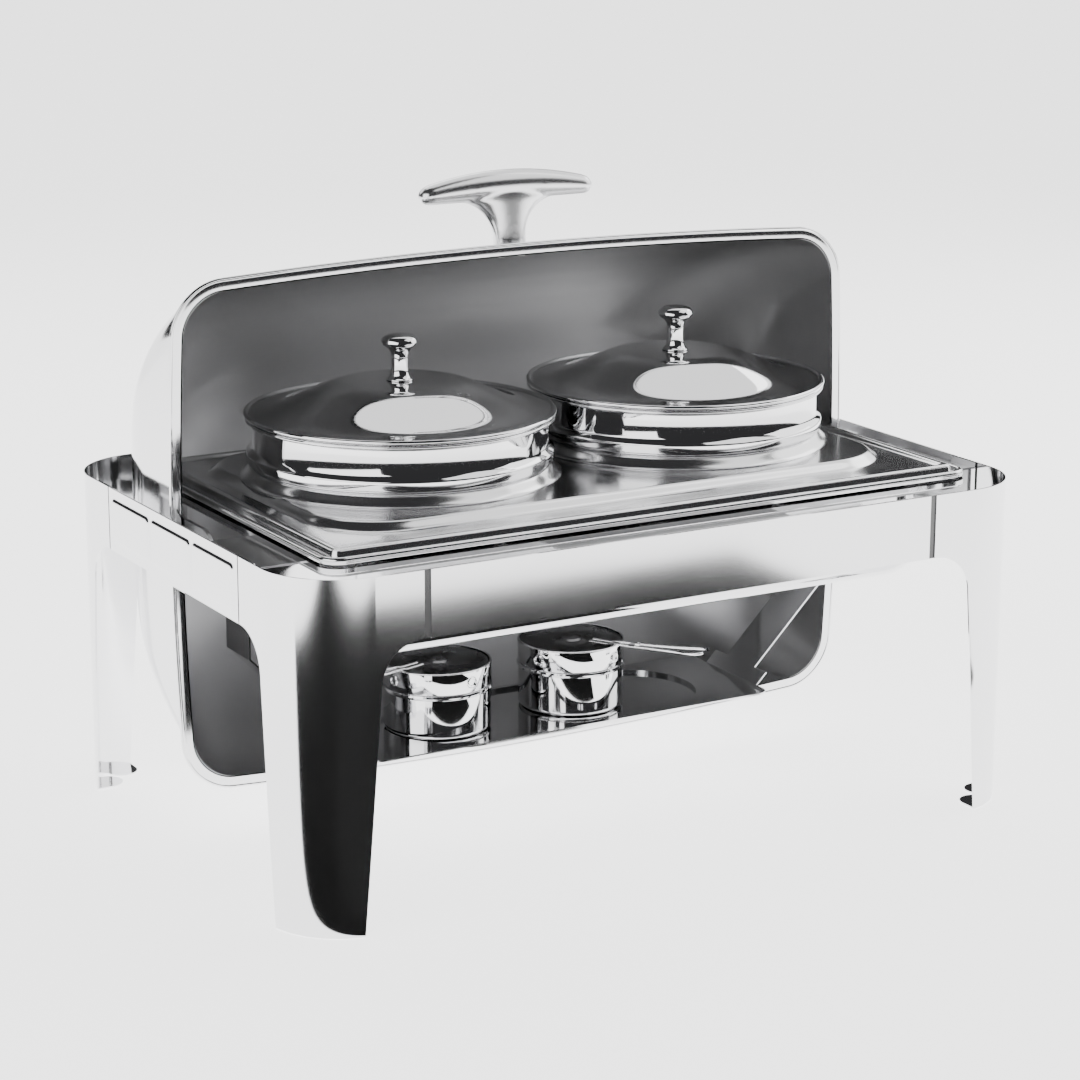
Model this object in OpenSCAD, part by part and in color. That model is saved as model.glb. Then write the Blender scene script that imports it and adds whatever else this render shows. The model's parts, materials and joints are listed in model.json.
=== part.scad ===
// Roll-top chafing dish with two soup pots. Millimetres, +Z up.
// Origin: on the floor, in the middle of the stand. Front is -Y.

/* [Stand] */
// Width over the side rails
stand_w = 603; // [595:1:615]
// Depth over the front and rear rails
stand_d = 413; // [409:1:425]
// Height of the top edge of the rails
rail_top = 248.5; // [244:0.5:249]
// Height of the rail band
rail_h = 47; // [40:1:52]
// Outer radius of the rounded stand corners
corner_r = 56; // [50:1:60]
// Length of each leg arm, from the corner to its seam
arm_len = 92; // [86:1:98]
// Width of a leg web just under the arch
leg_top_w = 60; // [57:1:66]
// Width of a leg web at the floor
leg_foot_w = 46; // [42:1:52]
// Radius of the arch between the leg and the rail
arch_r = 30; // [20:1:36]
// Thickness of the stand sheet
sheet = 1.2; // [1:0.1:1.5]

/* [Food pans] */
// Length of the adapter plate and the pan rim (full-size pan)
plate_w = 530; // [526:1:530]
// Depth of the adapter plate and the pan rim
plate_d = 325; // [321:1:325]
// Place of the plate centre behind the stand centre
plate_y = -12.8; // [-14:0.1:-12]
// Height of the underside of the pan rim
pan_rim_z = 243.5; // [242:0.5:244]
// Depth of the water pan below its rim
pan_depth = 68; // [60:1:70]
// Distance of each pot from the middle
pot_x = 117.7; // [116:0.1:119]
// Place of the pot centres behind the stand centre
pot_y = 3.8; // [2:0.1:5]
// Radius of the pot body below the plate
pot_r = 98; // [96:0.5:98.5]

/* [Roll top] */
// Height of the pivot axis
pivot_z = 222; // [221:0.5:223]
// Place of the pivot axis behind the stand centre
pivot_y = -6; // [-7:0.5:-5]
// Distance from the pivot axis to the mouth of the cover
mouth_gap = 32; // [31:0.5:33]
// Half width of the shell at its corners
shell_hw = 276; // [274:0.5:277]
// Half height of the shell at its corners
shell_hh = 178.5; // [176:0.5:179]
// Depth of the cover behind its mouth
shell_depth = 175; // [172:0.5:176]
// Radius of the rounded shell shoulders
shoulder_r = 105; // [95:1:106]
// Width of the flat rim band round the mouth
rim_band = 8; // [6:0.5:8.5]

/* [Fuel tray and burners] */
// Height of the tray surface
tray_z = 64.5; // [60:0.5:68]
// Half length of the flat tray
tray_hw = 172; // [168:1:176]
// Width of the hanging arms
arm_w = 39; // [34:1:40]
// Place of the left burner
burner_left_x = -88; // [-90:1:-80]
// Place of the right burner
burner_right_x = 28; // [26:1:70]
// Place of both burners behind the stand centre
burner_y = 6; // [4:1:8]
// Outer radius of a burner cup
burner_r = 41; // [38:0.5:42]
// Height of a burner
burner_h = 52; // [46:1:54]

/* [Hidden] */

steel = "gainsboro";
satin = "silver";
dark_steel = "dimgray";
half_w = stand_w / 2;
half_d = stand_d / 2;
rail_z = rail_top - rail_h;
rail_in_x = half_w - sheet;
rail_in_y = half_d - sheet;
lap = 22;           // how far a rail end runs behind a leg arm
side_gap = 1.5;     // seam between a side rail and a leg arm
front_gap = 5;      // joggled groove at the ends of the front and rear rails
cradle_t = 1.5;
cradle_inner_w = 500;
cradle_inner_d = 301;
pan_rim_t = 1.5;
pan_body_w = 494;
pan_body_d = 296;
pan_corner_r = 45;
plate_z = pan_rim_z + pan_rim_t + 5;   // level of the plate's edge roll
flange_z = plate_z + 6;
platform_z = flange_z + 6;
collar_z = platform_z + 9;
pot_floor_z = 192;
neck_z = collar_z + 12.5;
lip_z = neck_z + 21.5;
mouth_y = pivot_y + mouth_gap;
rim_t = 2.5;
shell_t = 1;
bow_x = 6;          // how far the short sides of the mouth bow outwards
bow_z = 8.5;        // how far the long sides of the mouth bow outwards
ear_x = 277.6;
ear_t = 3;
pin_r = 4;
$fn = 64;

// ---------- helpers ----------

module rounded_rect(w, d, r) {
    square([w - 2 * r, d], center = true);
    square([w, d - 2 * r], center = true);
    for (sx = [-1, 1], sy = [-1, 1])
        translate([sx * (w / 2 - r), sy * (d / 2 - r)]) circle(r);
}

module slab(w, d, r, z, t) {
    translate([0, 0, z]) linear_extrude(t) rounded_rect(w, d, r);
}

// Sweeps a 2D section round a rounded rectangle. In the section, x = 0 is the
// outline, negative x is inside it, and y is the height.
module swept_frame(w, d, r) {
    for (k = [0 : 3]) {
        long = k % 2 == 0 ? d : w;
        reach = k % 2 == 0 ? w : d;
        rotate([0, 0, 90 * k]) {
            translate([reach / 2, long / 2 - r, 0])
                rotate([90, 0, 0]) linear_extrude(long - 2 * r) children();
            translate([reach / 2 - r, long / 2 - r, 0])
                rotate_extrude(angle = 90) translate([r, 0]) children();
        }
    }
}

// A flat strip that follows a path in the plane, with round joints.
module strip(path, t) {
    for (i = [0 : len(path) - 2]) {
        a = path[i];
        b = path[i + 1];
        translate(a) rotate(atan2(b[1] - a[1], b[0] - a[0]))
            translate([0, -t / 2]) square([norm(b - a), t]);
    }
    for (p = path) translate(p) circle(d = t, $fn = 24);
}

// A round wire through a list of points, none of which run straight up.
module wire(path, d) {
    sides = 12;
    n = len(path);
    points = [for (i = [0 : n - 1])
        let (run = path[min(i + 1, n - 1)] - path[max(i - 1, 0)],
            along = run / norm(run),
            across = cross(along, [0, 0, 1]) / norm(cross(along, [0, 0, 1])),
            up = cross(across, along))
        for (k = [0 : sides - 1])
            path[i] + d / 2 * (cos(360 * k / sides) * across + sin(360 * k / sides) * up)];
    wall = [for (i = [0 : n - 2], k = [0 : sides - 1])
        let (a = i * sides + k, b = i * sides + (k + 1) % sides)
        each [[a, b, a + sides], [b, b + sides, a + sides]]];
    first = [[for (k = [sides - 1 : -1 : 0]) k]];
    last = [[for (k = [0 : sides - 1]) (n - 1) * sides + k]];
    polyhedron(points, concat(first, wall, last), convexity = 6);
}

module at_corner(sx, sy) {
    translate([sx * half_w, sy * half_d, 0])
        mirror([sx > 0 ? 1 : 0, 0, 0]) mirror([0, sy > 0 ? 1 : 0, 0]) children();
}

module on_side(side) {
    mirror([side > 0 ? 1 : 0, 0, 0]) children();
}

// ---------- stand ----------

// Angle section of a leg: two webs joined by the rounded corner.
module leg_section() {
    translate([corner_r, 0]) square([arm_len - corner_r, sheet]);
    translate([0, corner_r]) square([sheet, arm_len - corner_r]);
    intersection() {
        translate([corner_r, corner_r]) difference() {
            circle(corner_r, $fn = 96);
            circle(corner_r - sheet, $fn = 96);
        }
        square(corner_r);
    }
}

// What is cut from a web under the rail: a tapered side with an arch on top.
module web_cut() {
    low = -1;
    slope = (leg_top_w - leg_foot_w) / (rail_z - arch_r);
    edge_low = leg_foot_w + slope * low;
    edge_high = leg_top_w + slope * arch_r;
    difference() {
        polygon([[edge_low, low], [arm_len + 1, low], [arm_len + 1, rail_z], [edge_high, rail_z]]);
        difference() {
            translate([leg_top_w - 1, rail_z - arch_r])
                square([arch_r + 1, arch_r + 1]);
            translate([leg_top_w + arch_r, rail_z - arch_r]) circle(arch_r);
        }
    }
}

// Half-round tongue folded inwards under one web.
module foot_tongue() {
    width = 24;
    reach = 26;
    intersection() {
        translate([leg_foot_w - width, 0]) union() {
            square([width, reach - width / 2]);
            translate([width / 2, reach - width / 2]) circle(d = width, $fn = 48);
        }
        union() {
            translate([corner_r, corner_r]) circle(corner_r, $fn = 96);
            translate([corner_r, 0]) square(corner_r);
        }
    }
}

module corner_leg() {
    web_reach = 10;
    color(steel) union() {
        difference() {
            linear_extrude(rail_top) leg_section();
            translate([0, web_reach, 0]) rotate([90, 0, 0])
                linear_extrude(web_reach + 1) web_cut();
            mirror([1, -1, 0]) translate([0, web_reach, 0]) rotate([90, 0, 0])
                linear_extrude(web_reach + 1) web_cut();
        }
        linear_extrude(sheet) foot_tongue();
        linear_extrude(sheet) mirror([1, -1, 0]) foot_tongue();
    }
}

module leg_front_left() { at_corner(-1, -1) corner_leg(); }
module leg_front_right() { at_corner(1, -1) corner_leg(); }
module leg_back_left() { at_corner(-1, 1) corner_leg(); }
module leg_back_right() { at_corner(1, 1) corner_leg(); }

// Long rail for the front, with joggled ends behind the leg arms.
module long_rail() {
    panel = stand_w - 2 * (arm_len + front_gap);
    tucked = stand_w - 2 * (arm_len - lap);
    overlap = 6;
    color(steel) translate([0, -half_d, rail_z]) {
        translate([-panel / 2, 0, 0]) cube([panel, sheet, rail_h]);
        for (s = [-1, 1])
            translate([s < 0 ? -tucked / 2 : panel / 2 - overlap, sheet, 0])
                cube([(tucked - panel) / 2 + overlap, sheet, rail_h]);
    }
}

module front_rail() { long_rail(); }
module rear_rail() { mirror([0, 1, 0]) long_rail(); }

// Side rail with three pressed pads, in the plane x = -half_w.
module side_rail() {
    panel = stand_d - 2 * (arm_len + side_gap);
    tucked = stand_d - 2 * (arm_len - lap);
    overlap = 6;
    margin = 8;
    step = 1.2;
    pads = 3;
    pitch = (panel - margin) / pads;
    pad_w = pitch - margin / 2;
    pad_h = rail_h - 2 * margin;
    color(steel) difference() {
        union() {
            translate([-half_w, -panel / 2, rail_z]) cube([sheet, panel, rail_h]);
            for (s = [-1, 1])
                translate([-rail_in_x, s < 0 ? -tucked / 2 : panel / 2 - overlap, rail_z])
                    cube([sheet, (tucked - panel) / 2 + overlap, rail_h]);
            for (i = [0 : pads - 1])
                translate([-half_w - step, (i - 1) * pitch, rail_z + rail_h / 2])
                    rotate([90, 0, 90]) linear_extrude(step + 0.1) rounded_rect(pad_w, pad_h, 4);
        }
        for (i = [0 : pads - 1])
            translate([-half_w - 0.05, (i - 1) * pitch, rail_z + rail_h / 2])
                rotate([90, 0, 90]) linear_extrude(sheet + 0.1)
                rounded_rect(pad_w - 2 * sheet, pad_h - 2 * sheet, 3);
    }
}

module left_rail() { side_rail(); }
module right_rail() { mirror([1, 0, 0]) side_rail(); }

// Flat ring under the pan rim, hung from the side rails by two folded tongues.
module pan_cradle() {
    tongue_y0 = -130;
    tongue_y1 = -50;
    fold_h = 26;
    z = pan_rim_z - cradle_t;
    fold_x = -rail_in_x + sheet + 0.2;   // just inside the lapped end of the side rail
    color(satin) union() {
        translate([0, plate_y, 0]) difference() {
            slab(plate_w - 2, plate_d - 2, 14, z, cradle_t);
            slab(cradle_inner_w, cradle_inner_d, pan_corner_r, z - 1, cradle_t + 2);
        }
        for (side = [-1, 1]) on_side(side) {
            translate([fold_x, tongue_y0, z])
                cube([5 - plate_w / 2 - fold_x, tongue_y1 - tongue_y0, cradle_t]);
            translate([fold_x, tongue_y0, pan_rim_z - fold_h])
                cube([cradle_t, tongue_y1 - tongue_y0, fold_h]);
        }
    }
}

// Stepped shelf inside the front rail.
module front_ledge() {
    long = 190;
    drop = 18;
    fold = 2;
    depth = rail_in_y - sheet - plate_d / 2 + plate_y - 1.2;
    z = pan_rim_z - cradle_t;
    color(satin) translate([-long / 2, -rail_in_y + 0.2, 0]) {
        translate([0, 0, z]) cube([long, depth, cradle_t]);
        translate([0, 0, z - drop]) cube([long, cradle_t, drop + 0.1]);
        translate([0, depth / 2 - fold / 2, z]) cube([long, fold, cradle_t + 1.2]);
    }
}

// Doubler with a boss on the inner face of a side rail.
module pivot_bracket() {
    color(satin) difference() {
        union() {
            translate([-rail_in_x + 0.2, pivot_y - 20, pivot_z - 9]) cube([2, 40, 29]);
            translate([-rail_in_x + 0.2, pivot_y, pivot_z]) rotate([0, 90, 0]) cylinder(r = 9, h = 7);
        }
        translate([-rail_in_x - 1, pivot_y, pivot_z]) rotate([0, 90, 0])
            cylinder(r = pin_r + 0.02, h = 20);
    }
}

module pivot_bracket_left() { pivot_bracket(); }
module pivot_bracket_right() { mirror([1, 0, 0]) pivot_bracket(); }

// Pin with a shoulder between the bracket and the hinge ear.
module pivot_pin() {
    shoulder_x = ear_x + ear_t + 1.8;
    boss_x = rail_in_x - 7.4;
    color(steel) translate([0, pivot_y, pivot_z]) {
        translate([-rail_in_x + 0.3, 0, 0]) rotate([0, 90, 0])
            cylinder(r = pin_r, h = rail_in_x - ear_x + 5);
        translate([-boss_x, 0, 0]) rotate([0, 90, 0])
            cylinder(r = 6.5, h = boss_x - shoulder_x);
    }
}

module pivot_pin_left() { pivot_pin(); }
module pivot_pin_right() { mirror([1, 0, 0]) pivot_pin(); }

module pivot_washers() {
    color(satin) for (side = [-1, 1]) on_side(side)
        translate([-ear_x - ear_t - 1.7, pivot_y, pivot_z]) rotate([0, 90, 0]) difference() {
            cylinder(r = 9, h = 1.4);
            translate([0, 0, -1]) cylinder(r = pin_r + 0.02, h = 4);
        }
}

module pivot_cap_nuts() {
    color(steel) for (side = [-1, 1]) on_side(side)
        translate([-ear_x + 0.3, pivot_y, pivot_z]) rotate([0, 90, 0]) difference() {
            union() {
                cylinder(r = 7.5, h = 4.5, $fn = 6);
                translate([0, 0, 4]) cylinder(r = 5.6, h = 2.5);
            }
            translate([0, 0, -1]) cylinder(r = pin_r, h = 5.8);
        }
}

// ---------- fuel tray ----------

recess_r = 53.5;
recess_hw = 131;
recess_depth = 2.5;
tray_y0 = -55;
tray_y1 = 61;
recess_y = 3;
arm_y = 0;
arm_x = 251.5;
arm_shelf_z = rail_z - 1.5;
arm_flange_h = 11;
screw_z = arm_shelf_z + 6;
screw_y = 12;
arm_fold_z = tray_z + arm_x - tray_hw;

module racetrack(r) {
    straight = recess_hw - recess_r;
    square([2 * straight, 2 * r], center = true);
    for (s = [-1, 1]) translate([s * straight, 0]) circle(r, $fn = 96);
}

// One bent sheet: flat tray with a racetrack recess, two slanted arms, two screw flanges.
module fuel_tray() {
    path = [[tray_hw - 8, tray_z - sheet / 2], [tray_hw, tray_z - sheet / 2],
        [arm_x, arm_fold_z], [arm_x, arm_shelf_z],
        [rail_in_x - sheet / 2 - 0.3, arm_shelf_z], [rail_in_x - sheet / 2 - 0.3, arm_shelf_z + arm_flange_h]];
    depth = tray_y1 - tray_y0;
    color(steel) difference() {
        union() {
            translate([0, (tray_y0 + tray_y1) / 2, tray_z - sheet]) linear_extrude(sheet) difference() {
                rounded_rect(2 * tray_hw, depth, 10);
                translate([0, recess_y - (tray_y0 + tray_y1) / 2]) racetrack(recess_r);
            }
            translate([0, recess_y, tray_z - recess_depth - sheet]) linear_extrude(sheet)
                racetrack(recess_r + 0.4);
            translate([0, recess_y, tray_z - recess_depth - sheet]) linear_extrude(recess_depth + sheet)
                difference() {
                    racetrack(recess_r + 0.8);
                    racetrack(recess_r - 0.2);
                }
            for (side = [-1, 1]) on_side(side)
                translate([0, arm_y + arm_w / 2, 0]) rotate([90, 0, 0])
                    linear_extrude(arm_w) mirror([1, 0]) strip(path, sheet);
            // the arm widens to the tray just above the fold
            for (side = [-1, 1]) on_side(side)
                translate([0, arm_y + arm_w / 2 + 16, 0]) rotate([90, 0, 0])
                    linear_extrude(arm_w + 32) mirror([1, 0])
                    strip([path[0], path[1], path[1] + [9, 9]], sheet);
        }
        for (side = [-1, 1], dy = [-screw_y, screw_y])
            translate([side * rail_in_x, arm_y + dy, screw_z]) rotate([0, 90, 0])
                cylinder(d = 4.1, h = 12, center = true);
    }
}

module tray_screws() {
    color(satin) for (side = [-1, 1], dy = [-screw_y, screw_y]) on_side(side)
        translate([-rail_in_x + 0.1, arm_y + dy, screw_z]) rotate([0, 90, 0]) {
            cylinder(d = 4, h = 3);
            translate([0, 0, 1.5]) cylinder(d = 7.5, h = 2.4);
        }
}

// ---------- roll-top cover ----------

// Half width and half height of the shell at angle f (0 at the mouth, 90 at the back).
function depth_at(f, d) = d * sin(f);
function half_w_at(s, d, hw) = s < d - shoulder_r ? hw
    : hw - shoulder_r + sqrt(max(0, pow(shoulder_r, 2) - pow(s - d + shoulder_r, 2)));
function ring_corner_r(s, d, hh) = min(hh - 0.5, 30 + 75 * s / d);

corner_steps = 8;
long_steps = 8;
short_steps = 5;

// Outline of a ring: four rounded corners joined by sides, all bowed outwards.
function arc_points(cx, cz, r, start) =
    [for (i = [0 : corner_steps]) [cx + r * cos(start + 90 * i / corner_steps),
        cz + r * sin(start + 90 * i / corner_steps)]];
function side_points(a, b, n) = [for (i = [1 : n - 1]) a + (b - a) * i / n];
function bowed(p, hw, hh) = [p[0] * (1 + bow_x / shell_hw * (1 - pow(p[1] / hh, 2))),
    p[1] * (1 + bow_z / shell_hh * (1 - pow(p[0] / hw, 2)))];
function outline(hw, hh, r) =
    let (x = hw - r, z = hh - r,
        q = [arc_points(x, z, r, 0), arc_points(-x, z, r, 90),
            arc_points(-x, -z, r, 180), arc_points(x, -z, r, 270)])
    [for (k = [0 : 3]) each concat(q[k],
        side_points(q[k][corner_steps], q[(k + 1) % 4][0], k % 2 == 0 ? long_steps : short_steps))];
function ring(hw, hh, r) = [for (p = outline(hw, hh, r)) bowed(p, hw, hh)];

ring_count = 20;
last_angle = 88;
function shell_points(inset) = [for (k = [0 : ring_count - 1])
    let (f = last_angle * k / (ring_count - 1),
        d = shell_depth - rim_t - inset,
        s = depth_at(f, d),
        hh = (shell_hh - inset) * cos(f),
        hw = half_w_at(s, d, shell_hw - inset))
    each [for (p = ring(hw, hh, ring_corner_r(s, d, hh))) [p[0], mouth_y + rim_t + s, pivot_z + p[1]]]];

// Thin domed shell: an outer and an inner skin joined at the mouth.
module roll_top_shell() {
    n = len(outline(10, 10, 1));
    total = n * ring_count;
    skin = function (base, flip) [for (k = [0 : ring_count - 2], i = [0 : n - 1])
        let (a = base + k * n + i, b = base + k * n + (i + 1) % n, c = a + n, e = b + n)
        each (flip ? [[a, c, b], [b, c, e]] : [[a, b, c], [b, e, c]])];
    mouth = [for (i = [0 : n - 1]) let (j = (i + 1) % n) each [[i, total + i, j], [j, total + i, total + j]]];
    cap_out = [[for (i = [0 : n - 1]) total - n + i]];
    cap_in = [[for (i = [0 : n - 1]) 2 * total - 1 - i]];
    color(steel) polyhedron(concat(shell_points(0), shell_points(shell_t)),
        concat(skin(0, false), skin(total, true), mouth, cap_out, cap_in), convexity = 6);
}

// Flat band round the mouth.
module roll_top_rim() {
    color(steel) translate([0, mouth_y + rim_t, pivot_z]) rotate([90, 0, 0])
        linear_extrude(rim_t) difference() {
            polygon(ring(shell_hw + rim_band, shell_hh + rim_band, 30 + rim_band));
            polygon(ring(shell_hw - shell_t, shell_hh - shell_t, 30));
        }
}

// Plate inside the end wall that carries the bore for the pivot pin.
module hinge_ear() {
    reach = 72;
    r = 19;
    color(satin) translate([-ear_x - ear_t, pivot_y, pivot_z]) rotate([90, 0, 90])
        linear_extrude(ear_t) difference() {
            union() {
                circle(r);
                translate([0, -r]) square([reach - 10, 2 * r]);
                translate([reach - 10, -r + 10]) square([10, 2 * r - 20]);
                for (s = [-1, 1]) translate([reach - 10, s * (r - 10)]) circle(10);
            }
            circle(pin_r + 0.05);
            for (s = [-1, 1]) translate([reach - 14, s * 9]) circle(2);
        }
}

module hinge_ear_left() { hinge_ear(); }
module hinge_ear_right() { mirror([1, 0, 0]) hinge_ear(); }

module ear_rivets() {
    color(satin) for (side = [-1, 1], s = [-1, 1]) on_side(side)
        translate([-ear_x - ear_t - 2.5, pivot_y + 58, pivot_z + s * 9]) rotate([0, 90, 0]) {
            cylinder(r = 2, h = ear_t + 2.5 + 0.2);
            translate([0, 0, ear_t + 2.5]) cylinder(r = 3.6, h = 1.4);
            cylinder(r = 3.6, h = 1.2);
        }
}

handle_s = 24;      // how far behind the mouth the handle stands
handle_lean = 8.4;
handle_z = pivot_z + (shell_hh + bow_z) * sqrt(1 - pow(handle_s / shell_depth, 2)) + 0.3;

// Places its children on the shell, upright to it, where the handle is fixed.
module at_handle() {
    translate([0, mouth_y + handle_s, handle_z]) rotate([-handle_lean, 0, 0]) children();
}

// Cast T-handle: a bowed round bar on a flared stem.
module t_handle() {
    bar_r = 9.5;
    bar_z = 52;
    bow_radius = 400;
    swing = 9.2;
    stem_hw = 13;
    flare = 17;
    stem_t = 15;
    color(satin) at_handle() difference() {
        union() {
            translate([0, 0, bar_z - bow_radius]) rotate([90, 0, 0])
                rotate([0, 0, 90 - swing]) rotate_extrude(angle = 2 * swing, $fn = 96)
                translate([bow_radius, 0]) circle(bar_r, $fn = 40);
            for (s = [-1, 1])
                translate([0, 0, bar_z - bow_radius]) rotate([0, s * swing, 0])
                    translate([0, 0, bow_radius]) sphere(bar_r, $fn = 40);
            translate([0, stem_t / 2, 0]) rotate([90, 0, 0]) linear_extrude(stem_t) difference() {
                translate([-stem_hw - flare, 0]) square([2 * (stem_hw + flare), bar_z]);
                for (s = [-1, 1]) {
                    translate([s * (stem_hw + flare), bar_z - 6 - flare]) circle(flare, $fn = 48);
                    translate([s > 0 ? stem_hw : -stem_hw - flare - 1, -1])
                        square([flare + 1, bar_z - 5 - flare]);
                }
            }
        }
        for (s = [-1, 1]) translate([s * 8.5, 0, -1]) cylinder(r = 2, h = 13, $fn = 24);
    }
}

module handle_screws() {
    color(satin) at_handle() for (s = [-1, 1]) translate([s * 8.5, 0, 0]) {
        translate([0, 0, -4.2]) cylinder(r = 3.6, h = 2.6, $fn = 32);
        translate([0, 0, -2]) cylinder(r = 2, h = 13, $fn = 24);
    }
}

// ---------- food pans ----------

// Section of the pan wall, with a rounded foot that runs into the floor.
function pan_wall(top, floor_z, bend, t) = concat([[0, top], [-t, top]],
    [for (a = [0 : 30 : 90]) [-bend + (bend - t) * cos(a), floor_z + bend - (bend - t) * sin(a)]],
    [[-bend - 2, floor_z + t], [-bend - 2, floor_z]],
    [for (a = [90 : -30 : 0]) [-bend + bend * cos(a), floor_z + bend - bend * sin(a)]]);

module water_pan() {
    floor_z = pan_rim_z - pan_depth;
    bend = 15;
    t = 1.2;
    lip_t = 1.5;
    color(steel) translate([0, plate_y, 0]) union() {
        difference() {
            slab(plate_w - lip_t, plate_d - lip_t, 15 - lip_t / 2, pan_rim_z, pan_rim_t);
            slab(pan_body_w - t, pan_body_d - t, pan_corner_r - t / 2, pan_rim_z - 1, 4);
        }
        // upturned edge of the rim
        swept_frame(plate_w, plate_d, 15)
            translate([-lip_t, pan_rim_z]) square([lip_t, 4]);
        swept_frame(pan_body_w, pan_body_d, pan_corner_r)
            polygon(pan_wall(pan_rim_z + pan_rim_t, floor_z, bend, t));
        slab(pan_body_w - 2 * bend - 2, pan_body_d - 2 * bend - 2, pan_corner_r - bend - 1, floor_z, t);
    }
}

platform_w = 476;
platform_d = 262;
platform_r = 60;
platform_y = 7.8;   // the raised platform sits behind the plate centre
collar_foot_r = 118;
collar_top_r = 107;
hole_r = pot_r + 1.5;

// Formed plate: edge roll, groove, raised bead, flange, raised platform, two collars.
module adapter_plate() {
    t = 1.2;
    slope = 9;
    color(steel) translate([0, plate_y, 0]) union() {
        swept_frame(plate_w, plate_d, 15) union() {
            translate([-2.5, plate_z + 2.5]) circle(2.5, $fn = 24);
            translate([-10, plate_z + 1.6]) square([7.6, t]);
        }
        swept_frame(plate_w - 18, plate_d - 18, 6) polygon([[0.4, plate_z + 1.6], [0.4, plate_z + 5.5],
            [-1.6, plate_z + 8], [-6, plate_z + 8], [-6, plate_z + 6.8], [-1.2, plate_z + 6.8],
            [-0.8, plate_z + 5], [-0.8, plate_z + 1.6]]);
        swept_frame(plate_w - 30, plate_d - 30, 6) polygon([[0.4, plate_z + 8], [0.4, plate_z + 6.8],
            [-2, flange_z - t], [-6, flange_z - t], [-6, flange_z], [-1.6, flange_z]]);
        translate([0, 0, flange_z - t]) linear_extrude(t) difference() {
            rounded_rect(plate_w - 38, plate_d - 38, 5);
            translate([0, platform_y]) rounded_rect(platform_w - 1, platform_d - 1, platform_r);
        }
        translate([0, platform_y, 0]) swept_frame(platform_w, platform_d, platform_r)
            polygon([[0.3, flange_z - t], [0.3, flange_z], [-slope, platform_z], [-slope - 3, platform_z],
                [-slope - 3, platform_z - t], [-slope + 0.4, platform_z - t]]);
        translate([0, 0, platform_z - t]) linear_extrude(t) difference() {
            translate([0, platform_y])
                rounded_rect(platform_w - 2 * slope - 2, platform_d - 2 * slope - 2, platform_r - slope);
            for (s = [-1, 1]) translate([s * pot_x, pot_y - plate_y]) circle(collar_foot_r - 2, $fn = 96);
        }
        for (s = [-1, 1]) intersection() {
            translate([s * pot_x, pot_y - plate_y, 0]) rotate_extrude($fn = 96)
                polygon([[hole_r, collar_z - t], [hole_r, collar_z], [collar_top_r, collar_z],
                    [collar_top_r + 2, collar_z - 1], [collar_foot_r - 3, platform_z + 1],
                    [collar_foot_r, platform_z], [collar_foot_r, platform_z - t],
                    [collar_foot_r - 3.6, platform_z], [collar_top_r, collar_z - t]]);
            // the two collars meet half way between the pots
            translate([s > 0 ? 0 : -200, -200, platform_z - 5]) cube([200, 400, 40]);
        }
    }
}

// Pot with a rounded foot, a bead that rests on the collar, a neck and a turned lip.
module soup_pot(side) {
    neck_r = 108;
    bead_r = 112;
    lip_r = 112.8;
    foot = 10;
    color(steel) translate([side * pot_x, pot_y, 0]) rotate_extrude($fn = 128)
        polygon(concat([[0, pot_floor_z]],
            [for (a = [0 : 15 : 90]) [pot_r - foot + foot * sin(a), pot_floor_z + foot - foot * cos(a)]],
            [[pot_r, collar_z + 0.2], [bead_r - 2, collar_z + 0.2], [bead_r, collar_z + 2.2],
                [bead_r, collar_z + 6], [bead_r - 1.5, neck_z - 2.5], [neck_r, neck_z],
                [neck_r, lip_z - 3.5], [lip_r - 1, lip_z - 3], [lip_r, lip_z - 2], [lip_r, lip_z - 1],
                [lip_r - 1, lip_z], [neck_r - 1, lip_z], [neck_r - 1, neck_z + 0.4],
                [bead_r - 2.4, neck_z - 3], [bead_r - 1, collar_z + 5.6], [bead_r - 1, collar_z + 2.8],
                [bead_r - 2.6, collar_z + 1.2], [pot_r - 1, collar_z + 1.2]],
            [for (a = [90 : -15 : 0]) [pot_r - foot + (foot - 1) * sin(a),
                pot_floor_z + foot - (foot - 1) * cos(a)]],
            [[0, pot_floor_z + 1]]));
}

module soup_pot_left() { soup_pot(-1); }
module soup_pot_right() { soup_pot(1); }

lid_z = lip_z + 0.3;
lid_r = 113.6;
lid_flat_r = 36;
lid_rise = 21;
lid_top_z = lid_z + 3 + lid_rise;
function ogee(r) = lid_z + 3 + lid_rise * (1 + cos(180 * (r - lid_flat_r) / (104 - lid_flat_r))) / 2;

// Lid: rolled lip, shallow locating step below, ogee dome, flat crown with a screw hole.
module pot_lid(side) {
    radii = [for (i = [0 : 17]) 104 + (lid_flat_r - 104) * i / 17];
    count = len(radii);
    hole = 2.6;
    color(steel) translate([side * pot_x, pot_y, 0]) rotate_extrude($fn = 128)
        polygon(concat([[lid_r - 1, lid_z], [lid_r, lid_z + 1], [lid_r, lid_z + 2.6], [lid_r - 1.2, lid_z + 3.8],
                [lid_r - 3.5, lid_z + 3.6]],
            [for (r = radii) [r, ogee(r)]], [[hole, lid_top_z]], [[hole, lid_top_z - 1]],
            [for (i = [count - 1 : -1 : 0]) [radii[i] - 0.6, ogee(radii[i]) - 1]],
            [[103.4, lid_z - 2], [104.4, lid_z - 2], [104.4, lid_z]]));
}

module pot_lid_left() { pot_lid(-1); }
module pot_lid_right() { pot_lid(1); }

// Mushroom knob: flared foot, waist, stem, rounded cap.
module lid_knob(side) {
    top = 34;
    color(steel) translate([side * pot_x, pot_y, lid_top_z]) rotate_extrude($fn = 64)
        polygon([[2.2, 0], [10, 0], [10, 1.4], [7.6, 3.2], [6.6, 6], [6.4, 16], [6.8, 20],
            [8.4, 23], [12, 25.2], [13.2, 26.6], [13.6, 28.4], [13.2, 30.4], [11.6, 32.2], [8.4, 33.4],
            [4, top], [0, top], [0, 14], [2.2, 14]]);
}

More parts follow.
